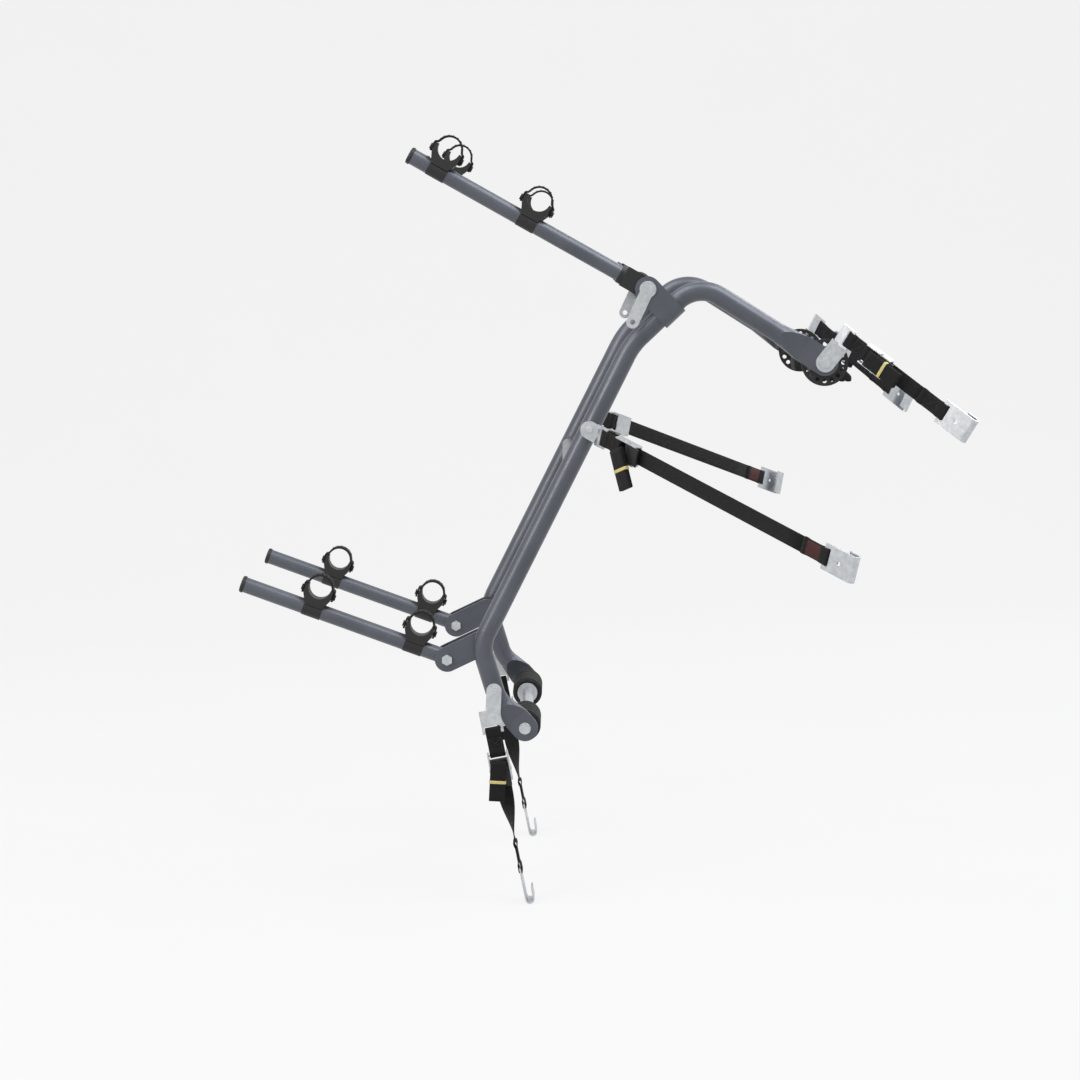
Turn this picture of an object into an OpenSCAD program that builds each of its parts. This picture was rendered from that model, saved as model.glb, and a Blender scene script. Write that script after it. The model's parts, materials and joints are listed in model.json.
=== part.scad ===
// Trunk mounted bike rack: two bent main tubes stand on a roller bar at the foot and on a pad bar at the top,
// fold-away arms carry cradles, and six cam buckle straps with hooks tie the rack down.
// X runs from side to side, Y away from the arms and Z up. The origin is the middle of the lower foot bar.

/* [Main tubes] */
// Outside diameter of the main tubes
tube_d = 31; // [28:0.5:34]
// Wall of every tube
tube_wall = 1.5; // [1:0.1:2.5]
// Distance between the main tubes
track = 420; // [380:5:520]
// Foot end of the tube, from the foot bar to its first bend
foot_len = 67; // [64:1:80]
// Lean of the foot end from upright
foot_lean = 42; // [34:1:48]
// Leg, from the first to the second bend
leg_len = 88; // [80:1:110]
// Lean of the leg from upright
leg_lean = 17; // [10:1:22]
// Long upright stretch of the tube
main_len = 533; // [500:1:620]
// Lean of the long stretch from upright, away from the arms
main_lean = 26.5; // [20:0.5:32]
// Stretch that rises to the top bend
rise_len = 142; // [138:1:170]
// Slope of the rising stretch
rise_slope = 43.6; // [38:0.1:48]
// Stretch that runs down to the roof foot
roof_len = 237; // [210:1:280]
// Fall of the roof stretch
roof_fall = 32; // [26:1:38]
// Bend radius at the foot
foot_bend = 50; // [44:1:56]
// Bend radius at the bottom of the long stretch
leg_bend = 60; // [50:1:70]
// Bend radius at the top of the long stretch
main_bend = 120; // [90:1:130]
// Bend radius of the top bend
top_bend = 55; // [46:1:57]
// Thickness of the flattened tube ends
flat_t = 6; // [4:0.5:8]
// Width of the flattened tube ends
flat_w = 42; // [36:1:46]
// Length of the flat on the foot end
foot_flat = 22; // [21:1:24]
// Length of the flat on the roof end
roof_flat = 40; // [40:1:46]
// Length over which the foot end flattens
foot_taper = 30; // [24:1:31]
// Length over which the roof end flattens
roof_taper = 46; // [36:1:60]
// Diameter of the cross tubes
cross_d = 25; // [20:0.5:27]
// Place of the lower cross tube along the long stretch
cross_at = 320; // [280:5:330]
// Place of the upper cross tube along the roof stretch
roof_cross_at = 92; // [85:1:105]

/* [Arms] */
// Outside diameter of the arms
arm_d = 25; // [22:0.5:26]
// Slope of the lower arms
lower_slope = 20; // [14:1:26]
// Length of the lower arms
lower_len = 345; // [320:5:420]
// Slope of the upper arms
upper_slope = 29.2; // [24:0.2:34]
// Length of the upper arms
upper_len = 420; // [410:5:470]
// Lower pivot, back from the bend
lower_back = 54; // [52:1:60]
// Lower pivot, below the bend
lower_drop = 26; // [20:1:30]
// Upper pivot along the rising stretch
upper_at = 78; // [76:1:79]
// Upper pivot off the tube's centre line
upper_off = 46; // [44:1:52]
// Thickness of the bracket cheeks
cheek_t = 4; // [3:0.5:5]
// Width of the lower arm's eye
eye_w = 27.8; // [27.6:0.2:30]
// Radius of the lower arm's eye
eye_r = 15; // [14:0.5:16]
// Radius of the bracket cheeks round the pivots
cheek_r = 20; // [18:0.5:21]
// Radius of the upper knuckle
knuckle_r = 16.5; // [15.5:0.5:17]
// Length of the upper knuckle's block
knuckle_len = 42; // [38:1:46]
// Length of the latch tabs on the upper pivots
tab_len = 66; // [56:1:70]
// Width of the latch tabs
tab_w = 20; // [18:1:24]
// Thickness of the latch tabs
tab_t = 2.5; // [2:0.5:3]
// Diameter of the pivot and foot bolts
bolt_d = 10; // [8:0.5:12]

/* [Cradles] */
// First cradle on the lower arms, from the pivot
lower_cradle_a = 58; // [56:1:70]
// Second cradle on the lower arms
lower_cradle_b = 230; // [200:1:260]
// First cradle on the upper arms
upper_cradle_a = 215; // [190:1:240]
// Second cradle on the upper arms
upper_cradle_b = 375; // [330:1:380]
// Radius of the cradle's groove
groove_r = 18; // [15:0.5:18.5]
// Width of a cradle across the arm
cradle_w = 27; // [24:0.5:27.4]
// Length of a cradle along the arm
cradle_len = 46; // [45:1:50]
// Height of the groove's centre over the arm's centre
groove_h = 38; // [36:1:42]
// Thickness of the rubber strap
rubber_t = 3; // [2:0.5:3.5]
// Width of the rubber strap
rubber_w = 20; // [14:1:22]
// Drop of the strap's studs under the saddle's rim
stud_drop = 9; // [8:0.5:11]
// Radius of a stud
stud_r = 3; // [2:0.25:4]
// Radius of a stud's head
stud_head_r = 5; // [4.5:0.25:6]
// Thickness of a stud's head
stud_head_t = 2; // [1.5:0.25:3]

/* [Feet] */
// Diameter of the foot bars
bar_d = 22; // [20:0.5:24]
// Diameter of the lower rollers
roller_d = 50; // [44:1:56]
// Length of a roller
roller_len = 90; // [60:5:100]
// Radius of the roller's washers
washer_r = 17; // [15:0.5:20]
// Thickness of the washers
washer_t = 3; // [2:0.5:4]
// Diameter of the index discs
disc_d = 74; // [68:1:76]
// Thickness of the index discs
disc_t = 3.2; // [2.5:0.1:4]
// Holes in an index disc
disc_holes = 16; // [12:1:16]
// Radius of the ring of holes
disc_ring = 29; // [28.5:0.5:30]
// Diameter of the index holes
disc_hole_d = 7; // [5:0.5:7.5]
// Length of a roof pad along the bar
pad_len = 80; // [60:5:90]
// Height of the roof bar over the pad's sole
pad_drop = 31; // [28:1:36]
// Length of the sole ahead of the bar
pad_front = 44; // [36:1:50]
// Length of the sole behind the bar
pad_back = 16; // [12:1:24]
// Grip grooves along the sole
sole_grooves = 5; // [3:1:7]
// Radius of a grip groove
sole_groove_r = 1.6; // [1:0.2:2.4]

/* [Straps] */
// Width of the webbing
web_w = 25; // [22:1:26]
// Thickness of the webbing
web_t = 1.5; // [1:0.1:1.6]
// Length of the folded tails
tail_len = 62; // [50:1:80]
// Layers in a folded tail
tail_layers = 4; // [2:1:5]
// Thickness of the strap brackets
bracket_t = 3; // [2:0.5:3]
// Width of the strap brackets
bracket_w = 34; // [33:1:40]
// Side strap bracket, along the long stretch
side_at = 385; // [370:1:400]
// Length of the hooks
hook_len = 52; // [44:1:60]
// Width of the hooks
hook_w = 40; // [36:1:46]
// Inside radius of the hooks' bend
hook_r = 5; // [4:0.5:7]

/* [Hidden] */
$fn = 64;

// Gap of a pin in its bore, of a seated piece and of pieces that pass each other
pin_play = 0.05;
seat = 0.1;
run_gap = 0.3;
// Room beyond a cut
cut = 1;
// Lap of a straight stretch over a bend, how much a bend thins the tube, and the shoulder of a pressed end
lap = 1;
thinning = 0.25;
shoulder = 0.3;

tube_r = tube_d / 2;
arm_r = arm_d / 2;
half = track / 2;
paint = "#56606e";
zinc = "#c9cdd1";
black = "#1d1e20";

// A direction in the side plane, as an angle from Y towards Z, and a side point as a point in space
function way(a) = [cos(a), sin(a)];
function at(p) = [0, p[0], p[1]];
function trim(r, turn) = r * tan(turn / 2);
function unit(v) = v / norm(v);

// Centre line of a main tube: its directions and its corners, from the foot up
foot_a = 90 + foot_lean;
leg_a = 90 + leg_lean;
main_a = 90 - main_lean;
rise_a = rise_slope;
roof_a = -roof_fall;
foot_c = foot_len * way(foot_a);
leg_c = foot_c + leg_len * way(leg_a);
main_c = leg_c + main_len * way(main_a);
top_c = main_c + rise_len * way(rise_a);
roof_p = top_c + roof_len * way(roof_a);
foot_trim = trim(foot_bend, foot_a - leg_a);
leg_trim = trim(leg_bend, leg_a - main_a);
main_trim = trim(main_bend, main_a - rise_a);
top_trim = trim(top_bend, rise_a - roof_a);

// Arms: pivots, directions, and the planes that they turn in
upper_p = main_c + upper_at * way(rise_a) + upper_off * way(rise_a + 90);
upper_a = 180 - upper_slope;
upper_inner = tube_r + seat;
knuckle_w = 2 * (upper_inner - run_gap);
lower_p = leg_c - [lower_back, lower_drop];
lower_a = 180 - lower_slope;
lower_inner = eye_w / 2 + run_gap;
lower_x = half - tube_r - seat - cheek_t - lower_inner;
tab_a = 245;
socket_at = 20;
cap_r = arm_r + 1.2;
cap_t = 6;
plug_len = 12;
nut_t = 7;
head_t = 6;
washer_gap = 0.3;

// Bolts: holes in the bars' ends, how far the foot bolts reach in, and the bolts of the strap brackets
bar_hole_len = 40;
foot_bolt_in = 36;
bracket_bolt_d = 6;
bracket_bolt_cut = 40;
flange_t = 2;
bracket_flange_t = 1.4;
bracket_head_t = 4;

// Feet along X, from the outside in, with the room beside a flat end and beside a disc
foot_room = 12;
disc_x = half - flat_t / 2 - run_gap - disc_t;
roof_bracket_x = half + flat_t / 2 + run_gap;
roller_x = half - flat_t / 2 - foot_room - washer_t;
pad_x = disc_x - foot_room;

// Straps: the slot bar's edge on each bracket, the run to the hook, and the side that the webbing faces
outer_x = half + tube_r + seat;
slot_l = 5.5;
bar_l = 6;
lower_bolt_at = 14;
lower_bolt = foot_c + lower_bolt_at * way(leg_a);
lower_drop_to_slot = 62;
lower_start = [outer_x + bracket_t / 2, lower_bolt[0] - 2, lower_bolt[1] - lower_drop_to_slot];
lower_run = [0, 43, -222];
side_bolt = leg_c + side_at * way(main_a);
side_start = [outer_x + bracket_t / 2 + 9, side_bolt[0] + 22, side_bolt[1] - 12];
side_run = [346, 310, -140];
roof_start = [roof_bracket_x + bracket_t / 2 + 10, roof_p[0] + 34, roof_p[1] + 37];
roof_run = [92, 132, -104];
// Bolted leaf of each strap bracket: its width, where it ends, and how far the slotted leaf laps back over it
roof_leaf_w = 30;
roof_leaf_a = 35;
roof_lap = 14;
side_leaf_w = 28;
side_leaf_end = [-8, 4];
side_lap = 11;
lower_leaf_w = 24;
lower_leaf_end = [0, slot_l + 10];
lower_lap = 26;
up = [0, 0, 1];
function run_way(run) = unit(run);
function run_width(run) = unit(up - (up * run_way(run)) * run_way(run));
lower_width = unit(cross([1, 0, 0], run_way(lower_run)));
lower_tail = [0, -0.05, -1];
side_tail = [0.1, 0.4, -0.9];
roof_tail = roof_run;

// Cam buckle, along the strap from the slot bar's edge
loop_end = 44;
loop_bar_at = 41;
loop_bar_r = 1.5;
loop_gap = 1.85;
run_from = 52;
hook_loop = 40;
run_z = -0.7;
wall_y = web_w / 2 + 1.8;
wall_t = 2.4;
wall_from = 36;
wall_len = 48;
wall_z = -3.4;
wall_h = 13.6;
base_t = 1.7;
pin_at = 64;
cam_r = 5.6;
pin_z = run_z + web_t / 2 + run_gap + cam_r;
buckle_pin_r = 2;
pin_head_r = 3.2;
pin_head_t = 1.2;
thumb_len = 28;
thumb_z = 2.6;
thumb_t = 2.2;
cam_teeth = 14;
tail_at = 50;
tail_z = pin_z + thumb_z + thumb_t + 2.2;
tail_step = web_t + 0.6;
band_w = 5;
band_t = 0.8;
band_at = 30;
hook_t = 2.4;

// Middle of the folded tail's strip, point by point, and the least room between its layers
tail_steps = 24;
function tail_x(i, k) = (i % 2 == 0 ? k : tail_steps - k) * tail_len / tail_steps;
tail_line = [for (i = [0:tail_layers - 1]) [for (k = [0:tail_steps]) [tail_x(i, k), i * tail_step]]];
tail_room = min([
    for (i = [0:tail_layers - 2], a = tail_line[i], j = [i + 1:tail_layers - 1], b = tail_line[j])
        norm(a - b) - web_t
]);
echo(least_gap_of_a_tail_to_itself = tail_room);
hook_back = 16;
hook_hole_r = 3;

// Moves pieces to the left or right side of the rack
module sided(s) {
    if (s > 0) children();
    else mirror([1, 0, 0]) children();
}

module both() {
    sided(1) children();
    sided(-1) children();
}

// Stands on a point of the side plane, with Z along a direction of that plane
module along(p, a) {
    translate(at(p)) rotate([a - 90, 0, 0]) children();
}

// A bar along X through the middle of the current place
module across(d, w, fn = $fn) {
    rotate([0, 90, 0]) cylinder(d = d, h = w, center = true, $fn = fn);
}

module ring(d, wall = tube_wall) {
    difference() {
        circle(d = d);
        circle(d = d - 2 * wall);
    }
}

// A straight stretch, whose ends lap over the bends
module tube_run(p, a, from, to) {
    along(p + (from - lap) * way(a), a)
        linear_extrude(to - from + 2 * lap) ring(tube_d, tube_wall + 2 * thinning);
}

module tube_turn(c, a_in, a_out, r) {
    centre = c - trim(r, a_in - a_out) * way(a_in) + r * way(a_in - 90);
    translate(at(centre)) rotate([90, 0, 90]) rotate([0, 0, a_out + 90])
        rotate_extrude(angle = a_in - a_out) translate([r, 0]) ring(tube_d - 2 * thinning);
}

// A tube end pressed flat, with a round tip about its bolt: a cone cut to a wedge, then the flat itself
module flat_end(p, a, flat, taper) {
    side = tube_r + shoulder + 1;
    along(p, a) {
        difference() {
            union() {
                translate([-flat_t / 2, -flat_w / 2, -flat]) cube([flat_t, flat_w, flat]);
                across(flat_w, flat_t);
            }
            across(bolt_d + 2 * pin_play, flat_t + cut);
        }
        translate([0, 0, -flat - taper]) intersection() {
            cylinder(r1 = tube_r + shoulder, r2 = flat_w / 2, h = taper);
            rotate([90, 0, 0]) linear_extrude(2 * flat_w, center = true)
                polygon([[-side, 0], [side, 0], [flat_t / 2, taper], [-flat_t / 2, taper]]);
        }
    }
}

module main_tube(s) {
    color(paint) translate([s * half, 0, 0]) {
        flat_end([0, 0], foot_a + 180, foot_flat, foot_taper);
        tube_run([0, 0], foot_a, foot_flat + foot_taper, foot_len - foot_trim);
        tube_turn(foot_c, foot_a, leg_a, foot_bend);
        tube_run(foot_c, leg_a, foot_trim, leg_len - leg_trim);
        tube_turn(leg_c, leg_a, main_a, leg_bend);
        tube_run(leg_c, main_a, leg_trim, main_len - main_trim);
        tube_turn(main_c, main_a, rise_a, main_bend);
        tube_run(main_c, rise_a, main_trim, rise_len - top_trim);
        tube_turn(top_c, rise_a, roof_a, top_bend);
        tube_run(top_c, roof_a, top_trim, roof_len - roof_flat - roof_taper);
        flat_end(roof_p, roof_a, roof_flat, roof_taper);
    }
}

// A cross tube, coped round the main tubes at both ends
module cross_tube(p, a) {
    color(paint) along(p, a) difference() {
        across(cross_d, track - tube_r);
        across(cross_d - 2 * tube_wall, track);
        for (s = [-1, 1]) translate([s * half, 0, -cross_d])
            cylinder(r = tube_r + seat, h = 2 * cross_d);
    }
}

module upper_cross_tube() { cross_tube(top_c + roof_cross_at * way(roof_a), roof_a); }
module lower_cross_tube() { cross_tube(leg_c + cross_at * way(main_a), main_a); }

// A strip bent round the main tube, with a cheek on each side of the arm's knuckle
module upper_arm_bracket() {
    reach = upper_off + cheek_r;
    translate([half, 0, 0]) along(main_c + upper_at * way(rise_a), rise_a) difference() {
        intersection() {
            translate([0, 0, -cheek_r]) linear_extrude(2 * cheek_r) {
                difference() {
                    circle(r = upper_inner + cheek_t);
                    circle(r = upper_inner);
                    translate([-reach, -2 * reach]) square(2 * reach);
                }
                for (s = [-1, 1]) translate([s * (upper_inner + cheek_t / 2) - cheek_t / 2, -reach])
                    square([cheek_t, reach]);
            }
            union() {
                translate([0, -upper_off, 0]) across(2 * cheek_r, 4 * upper_inner);
                translate([-2 * upper_inner, -upper_off, -cheek_r])
                    cube([4 * upper_inner, upper_off + 2 * upper_inner, 2 * cheek_r]);
            }
        }
        translate([0, -upper_off, 0]) across(bolt_d + 2 * pin_play, 4 * upper_inner);
    }
}

module upper_arm_brackets() { color(paint) both() upper_arm_bracket(); }

// Two cheeks beside the main tube's bend, joined by a web under the arm's eye
module lower_arm_bracket() {
    reach = norm([lower_back, lower_drop]);
    tilt = atan2(lower_drop, lower_back);
    web_at = eye_r + 9;
    web = 5;
    translate([lower_x, 0, 0]) along(lower_p, tilt) difference() {
        union() {
            for (s = [-1, 1]) translate([s * (lower_inner + cheek_t / 2), 0, 0]) {
                across(2 * cheek_r, cheek_t);
                translate([0, 0, reach]) across(2 * cheek_r, cheek_t);
                translate([-cheek_t / 2, -cheek_r, 0]) cube([cheek_t, 2 * cheek_r, reach]);
            }
            translate([-lower_inner - cut, 0, web_at]) cube([2 * (lower_inner + cut), cheek_r, web]);
        }
        across(bolt_d + 2 * pin_play, 4 * lower_inner);
    }
}

module lower_arm_brackets() { color(paint) both() lower_arm_bracket(); }

// A bolt along X: a head on the outside, over what else it holds there, the shank, and a nut on the inside
module pivot_bolt(w, held = 0) {
    translate([held / 2, 0, 0]) across(bolt_d, w + held + 2 * nut_t);
    translate([w / 2 + held + head_t / 2, 0, 0]) across(1.8 * bolt_d, head_t, 6);
    translate([-w / 2 - nut_t / 2 - washer_gap, 0, 0]) across(1.8 * bolt_d, nut_t, 6);
}

// Flat tab that hangs from the upper pivot on the outer cheek
module arm_latch_tabs() {
    tab_x = half + upper_inner + cheek_t + seat;
    color(zinc) both() translate([tab_x, 0, 0]) along(upper_p, tab_a) difference() {
        union() {
            translate([0, -tab_w / 2, 0]) cube([tab_t, tab_w, tab_len - tab_w / 2]);
            translate([tab_t / 2, 0, 0]) across(1.3 * tab_w, tab_t);
            translate([tab_t / 2, 0, tab_len - tab_w / 2]) across(tab_w, tab_t);
        }
        across(bolt_d + 2 * pin_play, 4 * tab_t);
        translate([0, 0, tab_len - tab_w / 2]) across(0.4 * tab_w, 4 * tab_t);
    }
}

module arm_pivot_bolts() {
    color(zinc) both() {
        translate([half, 0, 0]) translate(at(upper_p))
            pivot_bolt(2 * (upper_inner + cheek_t) + seat, tab_t + seat);
        translate([lower_x, 0, 0]) translate(at(lower_p)) mirror([1, 0, 0])
            pivot_bolt(2 * (lower_inner + cheek_t) + seat);
    }
}

module arm_tube(from, to) {
    translate([0, 0, from]) linear_extrude(to - from) ring(arm_d);
}

// Domed plug in the open end of an arm
module arm_cap(len) {
    inner = arm_r - tube_wall - pin_play;
    color(black) translate([0, 0, len]) rotate_extrude() {
        translate([0, -plug_len]) square([inner, plug_len + seat]);
        translate([0, seat]) square([cap_r, cap_t / 2]);
        translate([0, seat + cap_t / 2]) square([cap_r - cap_t / 2, cap_t / 2]);
        translate([cap_r - cap_t / 2, seat + cap_t / 2]) circle(r = cap_t / 2);
    }
}

module on_upper(s) { sided(s) translate([half, 0, 0]) along(upper_p, upper_a) children(); }
module on_lower(s) { sided(s) translate([lower_x, 0, 0]) along(lower_p, lower_a) children(); }

module upper_arm_tube(s) { color(paint) on_upper(s) arm_tube(socket_at + seat, upper_len); }

// Moulded block that holds the arm's root and turns on the pivot bolt
module upper_knuckle(s) {
    collar = 8;
    collar_wall = 2.6;
    color(black) on_upper(s) difference() {
        union() {
            across(2 * knuckle_r, knuckle_w);
            translate([-knuckle_w / 2, -knuckle_r, 0]) cube([knuckle_w, 2 * knuckle_r, knuckle_len]);
            translate([0, 0, knuckle_len]) cylinder(r = arm_r + collar_wall, h = collar);
        }
        across(bolt_d + 2 * pin_play, knuckle_w + cut);
        translate([0, 0, socket_at]) cylinder(r = arm_r + pin_play, h = knuckle_len + collar);
    }
}

module lower_arm_tube(s) {
    color(paint) on_lower(s) difference() {
        union() {
            arm_tube(0, lower_len);
            across(2 * eye_r, eye_w);
        }
        across(bolt_d + 2 * pin_play, eye_w + cut);
    }
}

// Saddle clipped round an arm, with a groove across it for a frame tube; Y points up on an arm
module cradle() {
    clip_r = min(arm_r + 4, cradle_w / 2 - seat);
    waist = arm_r + 3;
    rim = cradle_len / 2;
    difference() {
        union() {
            translate([-cradle_w / 2, 0, 0]) rotate([90, 0, 90]) linear_extrude(cradle_w) polygon([
                [groove_h, -rim], [groove_h, rim], [groove_h - stud_drop - stud_head_r, rim],
                [arm_r / 2 + 2, waist], [arm_r / 2, waist - 2],
                [arm_r / 2, 2 - waist], [arm_r / 2 + 2, -waist],
                [groove_h - stud_drop - stud_head_r, -rim]
            ]);
            translate([0, 0, -cradle_len / 3]) cylinder(r = clip_r, h = 2 * cradle_len / 3);
            for (s = [-1, 1]) translate([0, groove_h - stud_drop, 0]) rotate([s < 0 ? 180 : 0, 0, 0]) {
                translate([0, 0, rim - cut]) cylinder(r = stud_r, h = cut + rubber_t + 3 * run_gap);
                translate([0, 0, rim + rubber_t + 2 * run_gap]) cylinder(r = stud_head_r, h = stud_head_t);
            }
        }
        translate([0, 0, -cradle_len]) cylinder(r = arm_r + pin_play, h = 2 * cradle_len);
        translate([0, groove_h, 0]) across(2 * groove_r, cradle_w + cut);
    }
}

// Rubber strap over the groove: it lies on both rims, and a stud on each side of the saddle holds its ends
module cradle_strap() {
    r = groove_r + run_gap;
    side = cradle_len / 2 + run_gap;
    leg = stud_drop + stud_head_r + 2;
    translate([-rubber_w / 2, groove_h, 0]) difference() {
        rotate([90, 0, 90]) linear_extrude(rubber_w) {
            difference() {
                circle(r = r + rubber_t);
                circle(r = r);
                translate([-4 * r + seat, -2 * r]) square([4 * r, 4 * r]);
            }
            for (s = [0, 1]) mirror([0, s]) {
                translate([seat, r]) square([rubber_t, side + rubber_t - r]);
                translate([-leg, side]) square([leg + seat + rubber_t, rubber_t]);
            }
        }
        translate([rubber_w / 2, -stud_drop, -cradle_len])
            cylinder(r = stud_r + pin_play, h = 2 * cradle_len);
    }
}

module cradles(a, b) { color(black) for (z = [a, b]) translate([0, 0, z]) cradle(); }
module cradle_straps(a, b) { color(black) for (z = [a, b]) translate([0, 0, z]) cradle_strap(); }

module roof_foot_bar() {
    color(zinc) translate(at(roof_p)) difference() {
        across(bar_d, 2 * disc_x);
        for (s = [-1, 1]) translate([s * disc_x, 0, 0]) across(bolt_d + 2 * pin_play, 2 * bar_hole_len);
    }
}

// Drilled disc that sets the angle of the roof foot
module index_discs() {
    color(black) both() translate([disc_x + disc_t / 2, 0, 0]) translate(at(roof_p)) difference() {
        across(disc_d, disc_t);
        across(bolt_d + 2 * pin_play, disc_t + cut);
        for (i = [0:disc_holes - 1]) rotate([i * 360 / disc_holes, 0, 0]) translate([0, disc_ring, 0])
            across(disc_hole_d, disc_t + cut);
    }
}

// Rubber foot moulded round the roof bar, with a flat sole
module roof_pads() {
    neck = 4;
    lip = 9;
    groove_pitch = (pad_front + pad_back) / (sole_grooves + 1);
    color(black) both() translate([pad_x - pad_len, 0, 0]) translate(at(roof_p)) rotate([90, 0, 90])
        linear_extrude(pad_len) difference() {
            union() {
                circle(d = bar_d + 4 * neck);
                polygon([
                    [-pad_back, -pad_drop], [pad_front, -pad_drop], [pad_front, lip - pad_drop],
                    [bar_d / 2 + neck, neck], [-bar_d / 2 - 2 * neck, 0], [-pad_back - 2, lip - pad_drop]
                ]);
            }
            circle(d = bar_d + 2 * pin_play);
            for (i = [1:sole_grooves])
                translate([groove_pitch * i - pad_back, -pad_drop]) circle(r = sole_groove_r);
        }
}

module foot_bolt(from, to) {
    translate([from, 0, 0]) rotate([0, 90, 0]) cylinder(d = bolt_d, h = to - from);
    translate([to, 0, 0]) rotate([0, 90, 0]) cylinder(d = 1.9 * bolt_d, h = flange_t);
    translate([to + flange_t, 0, 0]) rotate([0, 90, 0]) cylinder(d = 1.7 * bolt_d, h = head_t, $fn = 6);
}

module roof_foot_bolts() {
    color(zinc) both() translate(at(roof_p))
        foot_bolt(disc_x - foot_bolt_in, roof_bracket_x + bracket_t + run_gap);
}

module lower_foot_bar() {
    color(zinc) difference() {
        across(bar_d, track - flat_t - 2 * seat);
        for (s = [-1, 1]) translate([s * half, 0, 0]) across(bolt_d + 2 * pin_play, 2 * bar_hole_len);
    }
}

module lower_foot_bolts() { color(zinc) both() foot_bolt(half - foot_bolt_in, half + flat_t / 2 + seat); }

module roller_washers() {
    color(zinc) both() for (x = [roller_x - roller_len - 2 * washer_gap - washer_t, roller_x])
        translate([x, 0, 0]) rotate([0, 90, 0]) difference() {
            cylinder(r = washer_r, h = washer_t);
            translate([0, 0, -cut]) cylinder(d = bar_d + 2 * pin_play, h = washer_t + 2 * cut);
        }
}

// Rubber roller with rounded rims and three grip grooves
module roller(s) {
    rim = 4;
    groove = 1.5;
    color(black) sided(s) translate([roller_x - washer_gap - roller_len, 0, 0]) rotate([0, 90, 0])
        difference() {
            union() {
                translate([0, 0, rim]) cylinder(d = roller_d, h = roller_len - 2 * rim);
                cylinder(d1 = roller_d - 2 * rim, d2 = roller_d, h = rim);
                translate([0, 0, roller_len - rim])
                    cylinder(d1 = roller_d, d2 = roller_d - 2 * rim, h = rim);
            }
            translate([0, 0, -cut]) cylinder(d = bar_d + 2 * pin_play, h = roller_len + 2 * cut);
            for (i = [1:3]) translate([0, 0, i * roller_len / 4]) rotate_extrude()
                translate([roller_d / 2, 0]) circle(r = groove);
        }
}

// Stands on a strap's slot bar: X along the run, Y across the webbing, Z away from its face
module on_strap(start, run, width) {
    u = run_way(run);
    n = cross(u, width);
    multmatrix([
        [u[0], width[0], n[0], start[0]],
        [u[1], width[1], n[1], start[1]],
        [u[2], width[2], n[2], start[2]]
    ]) children();
}

module on_roof() { on_strap(roof_start, roof_run, run_width(roof_run)) children(); }
module on_side() { on_strap(side_start, side_run, run_width(side_run)) children(); }
module on_low() { on_strap(lower_start, lower_run, lower_width) children(); }

// Slotted leaf that the strap loops through
module slot_leaf(back) {
    difference() {
        translate([-back, -bracket_w / 2, -bracket_t / 2]) cube([back + bar_l, bracket_w, bracket_t]);
        translate([-slot_l, -web_w / 2 - 1, -bracket_t]) cube([slot_l, web_w + 2, 2 * bracket_t]);
    }
}

// Leaf bolted to the tube's outer side, between two points of the side plane
module tube_leaf(x, p, q, w) {
    d = q - p;
    translate([x, 0, 0]) along(p, atan2(d[1], d[0])) {
        translate([0, -w / 2, 0]) cube([bracket_t, w, norm(d)]);
        translate([bracket_t / 2, 0, 0]) across(w, bracket_t);
    }
}

module roof_strap_bracket() {
    leaf_end = [roof_start[1], roof_start[2]] - roof_lap * way(roof_leaf_a);
    difference() {
        union() {
            tube_leaf(roof_bracket_x, roof_p, leaf_end, roof_leaf_w);
            on_roof() slot_leaf(slot_l + roof_lap);
        }
        translate([roof_bracket_x, 0, 0]) translate(at(roof_p))
            across(bolt_d + 2 * pin_play, bracket_bolt_cut);
    }
}

module side_strap_bracket() {
    difference() {
        union() {
            tube_leaf(outer_x, side_bolt, [side_start[1], side_start[2]] + side_leaf_end, side_leaf_w);
            on_side() slot_leaf(slot_l + side_lap);
        }
        translate([outer_x, 0, 0]) translate(at(side_bolt))
            across(bracket_bolt_d + 2 * pin_play, bracket_bolt_cut);
    }
}

module lower_strap_bracket() {
    difference() {
        union() {
            tube_leaf(outer_x, lower_bolt, [lower_start[1], lower_start[2]] + lower_leaf_end, lower_leaf_w);
            on_low() slot_leaf(slot_l + lower_lap);
        }
        translate([outer_x, 0, 0]) translate(at(lower_bolt))
            across(bracket_bolt_d + 2 * pin_play, bracket_bolt_cut);
    }
}

module roof_strap_brackets() { color(zinc) both() roof_strap_bracket(); }
module side_strap_brackets() { color(zinc) both() side_strap_bracket(); }
module lower_strap_brackets() { color(zinc) both() lower_strap_bracket(); }

module strap_bracket_bolts() {
    color(zinc) both() for (p = [side_bolt, lower_bolt]) translate([outer_x + bracket_t + seat, 0, 0])
        translate(at(p)) {
            translate([-bracket_t - seat, 0, 0]) rotate([0, 90, 0])
                cylinder(d = bracket_bolt_d, h = bracket_t + 2 * seat);
            rotate([0, 90, 0]) cylinder(d = 2 * bracket_bolt_d, h = bracket_flange_t);
            translate([bracket_flange_t, 0, 0]) rotate([0, 90, 0])
                cylinder(d = 1.7 * bracket_bolt_d, h = bracket_head_t, $fn = 6);
        }
}

// Sewn loop of webbing from x = a to x = b
module web_loop(a, b) {
    r = loop_gap + web_t;
    rotate([90, 0, 0]) linear_extrude(web_w, center = true) difference() {
        union() {
            translate([a, -r]) square([b - a, 2 * r]);
            for (x = [a, b]) translate([x, 0]) circle(r = r);
        }
        translate([a, -loop_gap]) square([b - a, 2 * loop_gap]);
        for (x = [a, b]) translate([x, 0]) circle(r = loop_gap);
    }
}

// Flat run of webbing
module web_flat(from, to) {
    translate([from, -web_w / 2, run_z - web_t / 2]) cube([to - from, web_w, web_t]);
}

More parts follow.
